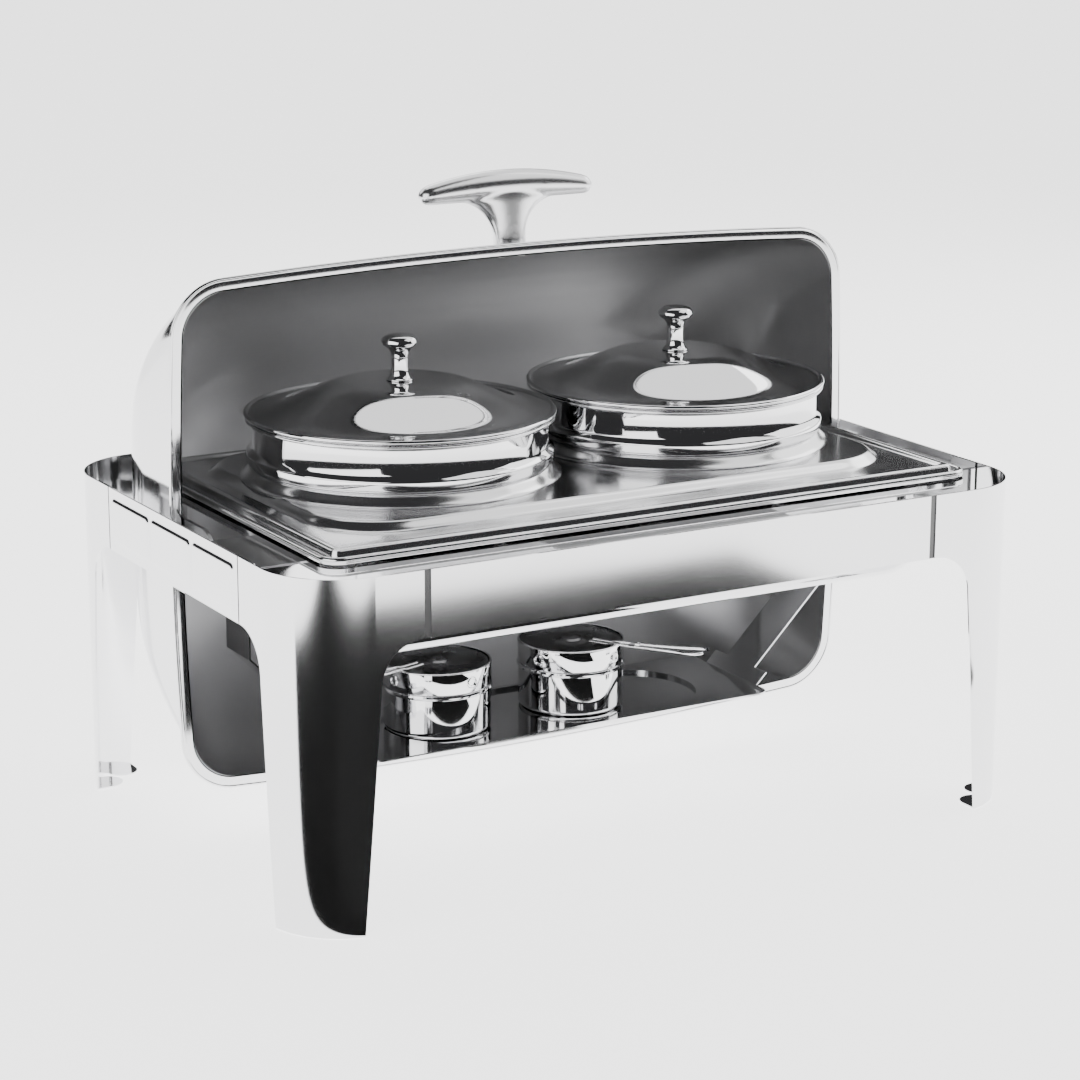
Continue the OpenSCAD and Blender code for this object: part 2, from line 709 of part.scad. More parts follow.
module lid_knob_left() { lid_knob(-1); }
module lid_knob_right() { lid_knob(1); }

// Screw and washer that hold a knob from below.
module knob_screw(side) {
    color(satin) translate([side * pot_x, pot_y, lid_top_z - 1]) {
        translate([0, 0, -1.2]) cylinder(r = 8, h = 1.2, $fn = 48);
        translate([0, 0, -4]) cylinder(r = 4, h = 2.9, $fn = 32);
        translate([0, 0, -1]) cylinder(r = 2.2, h = 14, $fn = 24);
    }
}

module knob_screw_left() { knob_screw(-1); }
module knob_screw_right() { knob_screw(1); }

// ---------- burners ----------

burner_z = tray_z - recess_depth;
bead_level = 33;
eyelets = 4;

module at_burner(side) {
    translate([side < 0 ? burner_left_x : burner_right_x, burner_y, burner_z]) children();
}

// Lower cup with a rounded foot and a bead under the collar.
module burner_cup(side) {
    r = burner_r - 0.6;
    foot = 4;
    color(steel) at_burner(side) rotate_extrude($fn = 96)
        polygon(concat([[0, 0]],
            [for (a = [0 : 22.5 : 90]) [r - foot + foot * sin(a), foot - foot * cos(a)]],
            [[r, bead_level - 2], [r + 1.4, bead_level - 1], [r + 1.4, bead_level + 1],
                [r, bead_level + 2], [r - 1, bead_level + 2], [r - 1, foot]],
            [[r - foot, 1], [0, 1]]));
}

module burner_cup_left() { burner_cup(-1); }
module burner_cup_right() { burner_cup(1); }

// Upper collar with round eyelet vents.
module burner_collar(side) {
    r = burner_r;
    t = 1;
    z0 = bead_level + 2;
    vent_z = burner_h - 9;
    turn = side < 0 ? -79 : -67;
    color(steel) at_burner(side) difference() {
        union() {
            translate([0, 0, z0]) rotate_extrude($fn = 96) polygon([[r - t - 0.6, 0], [r, 0],
                [r, burner_h - z0 - 1], [r - 0.6, burner_h - z0], [r - t - 0.6, burner_h - z0],
                [r - t, burner_h - z0 - 1.5]]);
            for (k = [0 : eyelets - 1]) rotate([0, 0, turn + 90 * k])
                translate([r - 0.6, 0, vent_z]) rotate([0, 90, 0])
                difference() {
                    cylinder(r = 4.6, h = 1.6, $fn = 40);
                    translate([0, 0, -1]) cylinder(r = 2.2, h = 4, $fn = 32);
                }
        }
        for (k = [0 : eyelets - 1]) rotate([0, 0, turn + 90 * k])
            translate([r - 4, 0, vent_z]) rotate([0, 90, 0]) cylinder(r = 2.2, h = 8, $fn = 32);
    }
}

module burner_collar_left() { burner_collar(-1); }
module burner_collar_right() { burner_collar(1); }

// Turning cover: a disc with a skirt inside the collar and a low centre boss.
module burner_cover(side) {
    r = burner_r - 2;
    color(dark_steel) at_burner(side) rotate_extrude($fn = 96)
        polygon([[0, burner_h - 2.4], [r - 1, burner_h - 2.4], [r - 1, burner_h - 6], [r, burner_h - 6],
            [r, burner_h - 1.8], [r - 0.6, burner_h - 1.2], [9, burner_h - 1.2], [7.5, burner_h + 0.6],
            [0, burner_h + 0.6]]);
}

module burner_cover_left() { burner_cover(-1); }
module burner_cover_right() { burner_cover(1); }

// Wire handle of the cover: a long hairpin that widens to its rounded end.
module burner_wire(side) {
    d = 2.4;
    reach = 116;
    z = burner_h + 0.1 + d / 2;
    seat_z = burner_h - 1.2 + d / 2;
    turn = side < 0 ? -163 : -59;
    half = [[18, 3, seat_z], [34, 3.2, seat_z], [37, 3.3, (seat_z + z) / 2], [40, 3.4, z],
        [66, 4.5, z + 1], [90, 6.2, z + 2.4], [102, 7.4, z + 3]];
    tip = [for (a = [75 : -25 : -75]) [reach - 8 + 8 * cos(a), 7.8 * sin(a), z + 4]];
    flipped = [for (i = [len(half) - 1 : -1 : 0]) [half[i][0], -half[i][1], half[i][2]]];
    color(satin) at_burner(side) rotate([0, 0, turn])
        wire(concat(half, tip, flipped), d);
}

module burner_wire_left() { burner_wire(-1); }
module burner_wire_right() { burner_wire(1); }

leg_front_left();
leg_front_right();
leg_back_left();
leg_back_right();
front_rail();
rear_rail();
left_rail();
right_rail();
pan_cradle();
front_ledge();
pivot_bracket_left();
pivot_bracket_right();
pivot_pin_left();
pivot_pin_right();
pivot_washers();
pivot_cap_nuts();
fuel_tray();
tray_screws();
roll_top_shell();
roll_top_rim();
hinge_ear_left();
hinge_ear_right();
ear_rivets();
t_handle();
handle_screws();
water_pan();
adapter_plate();
soup_pot_left();
soup_pot_right();
pot_lid_left();
pot_lid_right();
lid_knob_left();
lid_knob_right();
knob_screw_left();
knob_screw_right();
burner_cup_left();
burner_cup_right();
burner_collar_left();
burner_collar_right();
burner_cover_left();
burner_cover_right();
burner_wire_left();
burner_wire_right();
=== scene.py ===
"""Roll-top chafing dish with two soup pots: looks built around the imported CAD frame. Metres."""

import json
import math

import bmesh
import bpy
from mathutils import Matrix, Vector


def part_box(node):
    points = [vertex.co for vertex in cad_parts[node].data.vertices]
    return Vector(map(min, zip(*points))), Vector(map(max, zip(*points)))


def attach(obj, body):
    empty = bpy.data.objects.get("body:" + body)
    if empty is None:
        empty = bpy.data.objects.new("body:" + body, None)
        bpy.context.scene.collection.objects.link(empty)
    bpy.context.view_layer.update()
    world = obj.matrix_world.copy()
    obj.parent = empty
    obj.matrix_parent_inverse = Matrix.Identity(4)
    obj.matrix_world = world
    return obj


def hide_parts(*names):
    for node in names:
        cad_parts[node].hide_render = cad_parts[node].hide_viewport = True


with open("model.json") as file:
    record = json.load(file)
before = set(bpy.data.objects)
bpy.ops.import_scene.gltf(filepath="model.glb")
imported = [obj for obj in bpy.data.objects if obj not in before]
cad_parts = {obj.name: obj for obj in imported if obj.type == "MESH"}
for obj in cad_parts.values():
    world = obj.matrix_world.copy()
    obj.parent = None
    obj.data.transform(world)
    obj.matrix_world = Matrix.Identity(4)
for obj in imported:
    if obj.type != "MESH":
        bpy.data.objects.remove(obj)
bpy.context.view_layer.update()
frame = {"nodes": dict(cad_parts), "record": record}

SCENE = bpy.context.scene
MM = 0.001

# ---------------------------------------------------------------- camera

LOOK_AT = Vector((-0.0148, -0.0208, 0.2020))
AZIMUTH = math.radians(-30.02)
ELEVATION = math.radians(14.56)
ROLL = math.radians(0.12)
DISTANCE = 2.211
LENS = 99.17
SENSOR = 36.0


def make_camera():
    data = bpy.data.cameras.new("camera")
    data.lens = LENS
    data.sensor_width = SENSOR
    data.clip_end = 30.0
    camera = bpy.data.objects.new("camera", data)
    towards = Vector((math.sin(AZIMUTH) * math.cos(ELEVATION),
                      -math.cos(AZIMUTH) * math.cos(ELEVATION),
                      math.sin(ELEVATION)))
    turn = towards.to_track_quat("Z", "Y").to_matrix().to_4x4()
    place = Matrix.Translation(LOOK_AT + towards * DISTANCE)
    camera.matrix_world = place @ turn @ Matrix.Rotation(ROLL, 4, "Z")
    SCENE.collection.objects.link(camera)
    SCENE.camera = camera


make_camera()

# ---------------------------------------------------------------- materials


def steel(name, tint, roughness, grain, depth, stretch=(1, 1, 1)):
    """Metal with a faint procedural grain in its roughness and its surface."""
    material = bpy.data.materials.new(name)
    material.use_nodes = True
    nodes = material.node_tree.nodes
    links = material.node_tree.links
    shader = nodes["Principled BSDF"]
    shader.inputs["Metallic"].default_value = 1.0
    shader.inputs["Base Color"].default_value = (tint, tint, tint * 1.01, 1)
    place = nodes.new("ShaderNodeTexCoord")
    scale = nodes.new("ShaderNodeMapping")
    scale.inputs["Scale"].default_value = stretch
    noise = nodes.new("ShaderNodeTexNoise")
    noise.inputs["Scale"].default_value = grain
    noise.inputs["Detail"].default_value = 3.0
    spread = nodes.new("ShaderNodeMapRange")
    spread.inputs["To Min"].default_value = roughness * 0.85
    spread.inputs["To Max"].default_value = roughness * 1.15
    bump = nodes.new("ShaderNodeBump")
    bump.inputs["Strength"].default_value = 0.15
    bump.inputs["Distance"].default_value = depth
    links.new(place.outputs["Object"], scale.inputs["Vector"])
    links.new(scale.outputs["Vector"], noise.inputs["Vector"])
    links.new(noise.outputs["Fac"], spread.inputs["Value"])
    links.new(spread.outputs["Result"], shader.inputs["Roughness"])
    links.new(noise.outputs["Fac"], bump.inputs["Height"])
    links.new(bump.outputs["Normal"], shader.inputs["Normal"])
    return material


MIRROR = steel("mirror_steel", 0.86, 0.05, 40.0, 0.00003)
POLISHED = steel("polished_sheet", 0.84, 0.09, 14.0, 0.00006)
PLATE = steel("plate_sheet", 0.82, 0.17, 22.0, 0.00006)
PALE = steel("pale_satin", 0.86, 0.42, 60.0, 0.00003)
SATIN = steel("satin_steel", 0.55, 0.30, 60.0, 0.00004, (0.05, 1, 1))
LINED = steel("brushed_lining", 0.50, 0.34, 90.0, 0.00005, (0.03, 1, 1))
CAST = steel("cast_handle", 0.80, 0.22, 30.0, 0.00005)
# a dark steel tone: plain dark on the burner covers and the dark_steel parts, painted shade in the rails'
# joggled grooves
DARK = steel("dark_steel_and_painted_shade", 0.12, 0.28, 50.0, 0.00005)
WIRE = steel("bright_wire", 0.85, 0.10, 80.0, 0.00002)
BLACK = steel("vent_shadow", 0.02, 0.6, 50.0, 0.00002)

NODE_MATERIALS = {
    "polished_steel": POLISHED,
    "satin_steel": SATIN,
    "brushed_steel": LINED,
    "cast_steel": CAST,
    "dark_steel": DARK,
    "wire_steel": WIRE,
}
SLOT_OF = {s["node"]: s["material_slot"] for s in frame["record"]["subparts"]}
for node_name, node_object in frame["nodes"].items():
    node_object.data.materials.clear()
    node_object.data.materials.append(NODE_MATERIALS[SLOT_OF[node_name]])

# ---------------------------------------------------------------- mesh helpers

SHARP = math.radians(34)


def box_of(node):
    """Low and high corner of a CAD node."""
    low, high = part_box(node)
    return Vector(low), Vector(high)


def node_axis(low, high, z=0.0):
    """Point on the vertical axis of a round node, at height z."""
    return Vector(((low.x + high.x) / 2, (low.y + high.y) / 2, z))


def add_piece(name, vertices, faces, material, body, replaces=()):
    """A mesh piece that rides on a body and stands for the CAD nodes in replaces."""
    mesh = bpy.data.meshes.new(name)
    mesh.from_pydata([tuple(v) for v in vertices], [], faces)
    tidy = bmesh.new()
    tidy.from_mesh(mesh)
    bmesh.ops.remove_doubles(tidy, verts=tidy.verts, dist=1e-6)
    bmesh.ops.recalc_face_normals(tidy, faces=tidy.faces)
    tidy.to_mesh(mesh)
    tidy.free()
    for polygon in mesh.polygons:
        polygon.use_smooth = True
    mesh.set_sharp_from_angle(angle=SHARP)
    mesh.materials.append(material)
    piece = bpy.data.objects.new(name, mesh)
    SCENE.collection.objects.link(piece)
    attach(piece, body)
    if replaces:
        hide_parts(*replaces)
    return piece


def skin(rings, closed_path=False):
    """Quads between rings of the same number of points. Each ring is a closed loop."""
    count = len(rings[0])
    vertices = [p for ring in rings for p in ring]
    last = len(rings) if closed_path else len(rings) - 1
    faces = []
    for j in range(last):
        a = j * count
        b = ((j + 1) % len(rings)) * count
        for i in range(count):
            k = (i + 1) % count
            faces.append((a + i, a + k, b + k, b + i))
    return vertices, faces


def arc(centre, radius, start, end, steps):
    """Points on an arc in the plane, angles in degrees."""
    points = []
    for i in range(steps + 1):
        angle = math.radians(start + (end - start) * i / steps)
        points.append((centre[0] + radius * math.cos(angle), centre[1] + radius * math.sin(angle)))
    return points


def lathe(name, profile, centre, material, body, replaces=(), steps=192):
    """Turns a closed (radius, height) outline round a vertical axis."""
    rings = []
    for i in range(steps):
        angle = 2 * math.pi * i / steps
        rings.append([(centre[0] + r * math.cos(angle), centre[1] + r * math.sin(angle), centre[2] + z)
                      for r, z in profile])
    vertices, faces = skin(rings, closed_path=True)
    faces = [f for f in faces if len({vertices[i] for i in f}) > 2]
    return add_piece(name, vertices, faces, material, body, replaces)


CORNER_STEPS = 14


def rounded_loop(width, depth, radius, centre_y, z):
    """Points round a rounded rectangle at height z."""
    loop = []
    quarters = ((1, 1, 0), (-1, 1, 90), (-1, -1, 180), (1, -1, 270))
    for sx, sy, start in quarters:
        centre = (sx * (width / 2 - radius), centre_y + sy * (depth / 2 - radius))
        for x, y in arc(centre, radius, start, start + 90, CORNER_STEPS):
            loop.append((x, y, z))
    return loop


# ---------------------------------------------------------------- roll-top cover

RIM_LOW, RIM_HIGH = box_of("roll_top_rim")
SHELL_LOW, SHELL_HIGH = box_of("roll_top_shell")
MOUTH_Y = RIM_LOW.y
PIVOT_Z = (RIM_LOW.z + RIM_HIGH.z) / 2
BOW_X = 6 * MM
BOW_Z = 8.5 * MM
RIM_BAND = 8 * MM
SHELL_HW = SHELL_HIGH.x - BOW_X
SHELL_HH = (SHELL_HIGH.z - SHELL_LOW.z) / 2 - BOW_Z
SHELL_DEPTH = SHELL_HIGH.y - MOUTH_Y
SHOULDER_R = 105 * MM
SIDE_STEPS = 26
MOUTH_R = 30 * MM
BACK_R_GAIN = 75 * MM
COVER_RINGS = 64
LINING_INSET = 1.0 * MM


def bowed_loop(half_w, half_h, radius, y):
    """Points round the cover's outline at one depth: rounded corners and sides that bow outwards."""
    quarters = ((1, 1, 0), (-1, 1, 90), (-1, -1, 180), (1, -1, 270))
    arcs = [arc((sx * (half_w - radius), sz * (half_h - radius)), radius, start, start + 90, CORNER_STEPS)
            for sx, sz, start in quarters]
    flat = []
    for k, quarter in enumerate(arcs):
        flat += quarter
        a, b = quarter[-1], arcs[(k + 1) % len(arcs)][0]
        flat += [(a[0] + (b[0] - a[0]) * i / SIDE_STEPS, a[1] + (b[1] - a[1]) * i / SIDE_STEPS)
                 for i in range(1, SIDE_STEPS)]
    loop = []
    for x, z in flat:
        bow_x = 1 + BOW_X / SHELL_HW * (1 - (z / half_h) ** 2)
        bow_z = 1 + BOW_Z / SHELL_HH * (1 - (x / half_w) ** 2)
        loop.append((x * bow_x, y, PIVOT_Z + z * bow_z))
    return loop


def cover_loop(angle, inset):
    """The cover's outline at an angle from its mouth (0) to its back (90 degrees)."""
    depth = SHELL_DEPTH - inset
    s = depth * math.sin(angle)
    half_h = (SHELL_HH - inset) * math.cos(angle)
    half_w = SHELL_HW - inset
    past = s - (depth - SHOULDER_R)
    if past > 0:
        half_w += math.sqrt(max(0.0, SHOULDER_R ** 2 - past ** 2)) - SHOULDER_R
    radius = min(half_h * 0.999, MOUTH_R + BACK_R_GAIN * s / depth)
    return bowed_loop(half_w, half_h, radius, MOUTH_Y + s)


def make_cover():
    """Outer skin and brushed lining, each swept from the mouth to just short of the back."""
    last = math.radians(89.4)
    angles = [last * (k / COVER_RINGS) for k in range(COVER_RINGS + 1)]
    layers = (("cover_outer_skin", 0.0, POLISHED), ("cover_lining", LINING_INSET, LINED))
    for name, inset, material in layers:
        loops = [cover_loop(a, inset) for a in angles]
        vertices, faces = skin(loops)
        count = len(loops[0])
        faces.append(tuple(range(len(vertices) - count, len(vertices))))
        if inset > 0:
            # the lining and the outer skin meet at the mouth
            edge = cover_loop(0, 0)
            base = len(vertices)
            vertices += edge
            faces += [(i, (i + 1) % count, base + (i + 1) % count, base + i) for i in range(count)]
        piece = add_piece(name, vertices, faces, material, "roll_top", ["roll_top_shell"])
        if inset > 0:
            piece.data.flip_normals()


def make_cover_rim():
    """Flat band round the mouth with a rolled outer edge."""
    t = RIM_HIGH.y - RIM_LOW.y
    roll = t / 2
    lap = 1.0 * MM
    outline = [(-lap, 0.0), (-lap, t * 0.55)]
    outline += [(RIM_BAND - 2 * roll, t * 0.55)]
    outline += [(RIM_BAND - roll + roll * math.cos(a), roll + roll * math.sin(a))
                for a in [math.radians(d) for d in range(165, -150, -15)]]
    outline += [(RIM_BAND - 2.4 * roll, 0.35 * MM), (RIM_BAND - 3.4 * roll, 0.0)]
    loops = [bowed_loop(SHELL_HW + out, SHELL_HH + out, MOUTH_R + max(out, -lap), MOUTH_Y + back)
             for out, back in outline]
    vertices, faces = skin(loops, closed_path=True)
    add_piece("cover_rim_roll", vertices, faces, POLISHED, "roll_top", ["roll_top_rim"])


make_cover()
make_cover_rim()


def ellipse_loop(centre, across, up, a, b, steps=28):
    """Points of an ellipse in the plane of two unit vectors."""
    turns = [2 * math.pi * i / steps for i in range(steps)]
    return [centre + across * (a * math.cos(t)) + up * (b * math.sin(t)) for t in turns]


def capped(loops):
    """Skin with both ends closed."""
    vertices, faces = skin(loops)
    count = len(loops[0])
    faces.append(tuple(range(count)))
    faces.append(tuple(range(len(vertices) - count, len(vertices))))
    return vertices, faces


def make_handle():
    """Cast T-handle: a bar with an arched top and a flat underside, on a stem that flares into it."""
    low, high = box_of("t_handle")
    lean = math.radians(8.4)
    up = Vector((0, math.sin(lean), math.cos(lean)))
    side = Vector((1, 0, 0))
    front = up.cross(side)
    half = (high.x - low.x) / 2
    foot = Vector((0, MOUTH_Y + 24 * MM, low.z + 1.2 * MM))
    height = (high.z - foot.z) / math.cos(lean) - 0.6 * MM
    under = height - 23 * MM
    end_round = 9 * MM
    bar = []
    stations = 72
    for i in range(stations + 1):
        u = -math.cos(math.pi * i / stations)
        x = half * u
        top = height - 10 * MM * u * u
        past = max(0.0, abs(x) - (half - end_round)) / end_round
        swell = math.sqrt(max(0.0, 1 - past ** 2.4)) + 0.01
        thick = (top - under) / 2 * swell
        deep = (10.4 - 2.2 * u * u) * MM * swell
        centre = foot + side * x + up * ((top + under) / 2)
        bar.append(ellipse_loop(centre, front, up, deep, thick))
    fillet = 29 * MM
    stem = []
    stem_top = under + 5 * MM
    for i in range(49):
        rise = stem_top * i / 48
        past = min(1.0, max(0.0, (rise - (under - fillet)) / fillet))
        wide = 13.4 * MM + fillet * (1 - math.sqrt(1 - (past * 0.985) ** 2))
        deep = (8.8 + 0.8 * past) * MM
        stem.append(ellipse_loop(foot + up * rise, side, front, wide, deep))
    vertices, faces = capped(bar)
    more, more_faces = capped(stem)
    faces += [tuple(i + len(vertices) for i in f) for f in more_faces]
    vertices += more
    piece = add_piece("t_handle_casting", vertices, faces, CAST, "roll_top", ["t_handle"])
    remesh = piece.modifiers.new("blend", "REMESH")
    remesh.mode = "VOXEL"
    remesh.voxel_size = 1.0 * MM
    remesh.use_smooth_shade = True
    smooth = piece.modifiers.new("fillet", "SMOOTH")
    smooth.factor = 0.5
    smooth.iterations = 24


make_handle()

# ---------------------------------------------------------------- water pan and adapter plate

PAN_LOW, PAN_HIGH = box_of("water_pan")
PLATE_LOW, PLATE_HIGH = box_of("adapter_plate")
PLATE_Y = (PLATE_LOW.y + PLATE_HIGH.y) / 2
PLATE_W = PLATE_HIGH.x - PLATE_LOW.x
PLATE_D = PLATE_HIGH.y - PLATE_LOW.y
EDGE_R = 15 * MM


def make_water_pan():
    """Deep drawn pan: upturned rim edge, flat rim, straight wall, rounded foot."""
    top = PAN_HIGH.z
    rim = top - 4.0 * MM
    floor = PAN_LOW.z
    body_w, body_d, corner = 494 * MM, 296 * MM, 45 * MM
    bend = 15 * MM
    flat = 14 * MM
    t = 1.2 * MM
    outer = [(0.0, top), (0.0, rim + 0.8 * MM), (0.8 * MM, rim)]

    def rim_loop(inset, z):
        return rounded_loop(PLATE_W - 2 * inset, PLATE_D - 2 * inset, EDGE_R - inset, PLATE_Y, z)

    def wall(inset, z):
        return rounded_loop(body_w - 2 * inset, body_d - 2 * inset, corner - inset, PLATE_Y, z)

    def foot_bend(radius, angles):
        """Wall loops round the bend at the foot."""
        turns = [math.radians(a) for a in angles]
        return [wall(bend - radius * math.cos(a), floor + bend - radius * math.sin(a)) for a in turns]

    loops = [rim_loop(inset, z) for inset, z in outer]
    loops += [wall(-2.5 * MM, rim), wall(-0.7 * MM, rim - 0.8 * MM), wall(0.0, rim - 2.5 * MM)]
    loops += foot_bend(bend, range(0, 91, 9))
    loops += [wall(bend + flat, floor)]
    inner = [wall(bend + flat, floor + t)]
    inner += foot_bend(bend - t, range(90, -1, -9))
    inner += [wall(t, rim - 1.2 * MM), wall(0.3 * MM, rim + 0.7 * MM), wall(-1.5 * MM, rim + t)]
    inner += [rim_loop(2.2 * MM, rim + t), rim_loop(1.3 * MM, rim + 1.6 * MM), rim_loop(1.3 * MM, top)]
    count = len(loops[0])
    vertices, faces = skin(loops + inner, closed_path=True)
    # the two innermost loops, outside and inside, are closed by flat floors instead of joined
    start = (len(loops) - 1) * count
    faces = [f for f in faces
             if not (min(f) >= start and max(f) < start + 2 * count and max(f) - min(f) >= count - 1)]
    faces.append(tuple(range(start, start + count)))
    faces.append(tuple(range(start + count, start + 2 * count)))
    add_piece("water_pan_drawn", vertices, faces, POLISHED, "water_pan_body", ["water_pan"])


make_water_pan()

PLATFORM_Z = PLATE_LOW.z + 12 * MM
FLANGE_Z = PLATE_LOW.z + 6 * MM
PLATE_EDGE_Z = PLATE_LOW.z
POT_LOW, POT_HIGH = box_of("soup_pot_left")
POT_X = abs(POT_LOW.x + POT_HIGH.x) / 2
POT_Y = (POT_LOW.y + POT_HIGH.y) / 2
COLLAR_Z = PLATE_HIGH.z
PLATFORM_W, PLATFORM_D, PLATFORM_R = 476 * MM, 262 * MM, 60 * MM
PLATFORM_Y = PLATE_Y + 7.8 * MM
COLLAR_FOOT = 117.4 * MM


def make_plate():
    """Pressed plate: rolled edge, groove, bead, flange and raised platform, as one formed sheet."""
    e = PLATE_EDGE_Z
    roll = 2.5 * MM
    section = [(roll - roll * math.cos(math.radians(a)), e + roll + roll * math.sin(math.radians(a)))
               for a in range(-60, 151, 15)]
    section += [(6.0 * MM, e + 1.9 * MM), (8.4 * MM, e + 2.0 * MM), (9.2 * MM, e + 3.2 * MM)]
    section += [(9.6 * MM, e + 5.6 * MM), (10.4 * MM, e + 7.2 * MM), (11.8 * MM, e + 8.0 * MM)]
    section += [(14.5 * MM, e + 8.0 * MM), (16.0 * MM, e + 7.4 * MM), (17.2 * MM, e + 6.3 * MM)]
    section += [(19.0 * MM, FLANGE_Z)]
    top = [(PLATE_W - 2 * inset, PLATE_D - 2 * inset, max(EDGE_R - inset, 4 * MM), PLATE_Y, z)
           for inset, z in section]
    steps = 14
    slope = 10 * MM
    for k in range(steps + 1):
        u = k / steps
        inset = slope * u - 0.5 * MM
        ease = u * u * (3 - 2 * u)
        z = FLANGE_Z + (PLATFORM_Z - FLANGE_Z) * ease
        top.append((PLATFORM_W - 2 * inset, PLATFORM_D - 2 * inset, PLATFORM_R - inset, PLATFORM_Y, z))
    t = 1.0 * MM
    tuck = 0.6 * MM
    upper = [rounded_loop(*level) for level in top]
    lower = [rounded_loop(width - tuck, depth - tuck, radius, middle, max(z - t, e + 0.2 * MM))
             for width, depth, radius, middle, z in top]
    rings = upper + list(reversed(lower))
    vertices, faces = skin(rings, closed_path=True)
    add_piece("plate_formed_edge", vertices, faces, PLATE, "adapter_plate_body", ["adapter_plate"])

    # the flat platform, with a round hole under each collar
    mesh = bmesh.new()
    border = [mesh.verts.new(p) for p in upper[-1]]
    edges = [mesh.edges.new(pair) for pair in zip(border, border[1:] + border[:1])]
    for side in (-1, 1):
        hole = [mesh.verts.new((x, y, PLATFORM_Z))
                for x, y in arc((side * POT_X, POT_Y), COLLAR_FOOT - 0.8 * MM, 0, 358, 179)]
        edges += [mesh.edges.new(pair) for pair in zip(hole, hole[1:] + hole[:1])]
    bmesh.ops.triangle_fill(mesh, use_beauty=True, use_dissolve=False, edges=edges)
    mesh.verts.index_update()
    flat_v = [tuple(v.co) for v in mesh.verts]
    flat_f = [tuple(v.index for v in f.verts) for f in mesh.faces]
    mesh.free()
    count = len(flat_v)
    flat_v += [(x, y, z - t) for x, y, z in flat_v]
    flat_f += [tuple(reversed([i + count for i in f])) for f in flat_f]
    add_piece("plate_platform", flat_v, flat_f, PLATE, "adapter_plate_body", ["adapter_plate"])

    collar = []
    hole_r = 99.5 * MM
    top_r = 107 * MM
    for k in range(11):
        u = k / 10
        ease = u * u * (3 - 2 * u)
        height = PLATFORM_Z + (COLLAR_Z - PLATFORM_Z) * ease
        collar.append((COLLAR_FOOT - (COLLAR_FOOT - top_r) * u, height))
    collar.append((hole_r, COLLAR_Z))
    back = [(r, z - t) for r, z in reversed(collar)]
    for side, tag in ((-1, "left"), (1, "right")):
        lathe("plate_collar_" + tag, collar + back, (side * POT_X, POT_Y, 0), PLATE,
              "adapter_plate_body", ["adapter_plate"])


make_plate()

# ---------------------------------------------------------------- pots and lids


def make_pot(tag):
    """Spun pot: straight lower wall, a bead that sits on the collar, a neck and a rolled lip."""
    low, high = box_of("soup_pot_" + tag)
    centre = node_axis(low, high)
    lip = high.z
    neck = COLLAR_Z + 12.5 * MM
    bead_r = 112 * MM
    neck_r = 108 * MM
    body_r = 98 * MM
    foot = 10 * MM
    lip_r = (high.x - low.x) / 2
    t = 1 * MM
    outer = [(0, low.z)] + [(body_r - foot + r, low.z + foot + z)
                            for r, z in arc((0, 0), foot, -90, 0, 8)]
    outer += [(body_r, COLLAR_Z + 0.2 * MM), (bead_r - 2.5 * MM, COLLAR_Z + 0.2 * MM)]
    outer += arc((bead_r - 2.5 * MM, COLLAR_Z + 2.7 * MM), 2.5 * MM, -80, 0, 6)
    outer += [(bead_r, COLLAR_Z + 6.5 * MM)]
    outer += arc((bead_r - 2 * MM, COLLAR_Z + 7.5 * MM), 2 * MM, 0, 50, 4)
    outer += [(neck_r + 0.9 * MM, neck - 1.2 * MM), (neck_r, neck + 0.8 * MM), (neck_r, lip - 4.2 * MM)]
    outer += [(neck_r + 0.8 * MM, lip - 3.2 * MM)]
    outer += arc((lip_r - 1.5 * MM, lip - 1.5 * MM), 1.5 * MM, -90, 90, 8)
    outer += [(neck_r - 0.4 * MM, lip), (neck_r - t, lip - 1.2 * MM)]
    inner = [(neck_r - t, neck + 1 * MM), (bead_r - 2.6 * MM, neck - 3 * MM)]
    inner += [(bead_r - 1.2 * MM, COLLAR_Z + 6 * MM), (bead_r - 1.2 * MM, COLLAR_Z + 2.8 * MM)]
    inner += [(bead_r - 2.6 * MM, COLLAR_Z + 1.2 * MM), (body_r - t, COLLAR_Z + 1.2 * MM)]
    inner += [(body_r - foot + r, low.z + foot + z) for r, z in arc((0, 0), foot - t, 0, -90, 8)]
    inner += [(0, low.z + t)]
    lathe("soup_pot_%s_spun" % tag, outer + inner, centre, MIRROR,
          "pot_%s_body" % tag, ["soup_pot_" + tag])


def make_lid(tag):
    """Domed lid with a rolled edge and a skirt that drops inside the pot."""
    low, high = box_of("pot_lid_" + tag)
    centre = node_axis(low, high)
    lip_r = (high.x - low.x) / 2
    base = low.z + 2 * MM
    flat_r = 36 * MM
    edge_r = 104 * MM
    skirt_r = 104.4 * MM
    rise = 21 * MM
    t = 0.9 * MM
    top = []
    steps = 40
    for i in range(steps + 1):
        r = edge_r + (flat_r - edge_r) * i / steps
        fall = math.pi * (r - flat_r) / (edge_r - flat_r)
        top.append((r, base + 3 * MM + rise * (1 + math.cos(fall)) / 2))
    outline = [(lip_r - 6.5 * MM, base)]
    outline += arc((lip_r - 1.9 * MM, base + 1.9 * MM), 1.9 * MM, -90, 120, 12)
    outline += [(lip_r - 4.2 * MM, base + 2.4 * MM), (lip_r - 6.6 * MM, base + 2.4 * MM)]
    outline += top + [(2.6 * MM, top[-1][1]), (2.6 * MM, top[-1][1] - t)]
    outline += [(r - 0.6 * MM, z - t) for r, z in reversed(top)]
    outline += [(skirt_r - 1 * MM, base - 2 * MM), (skirt_r, base - 2 * MM), (skirt_r, base)]
    lathe("lid_%s_spun" % tag, outline, centre, MIRROR, "lid_%s_body" % tag, ["pot_lid_" + tag])


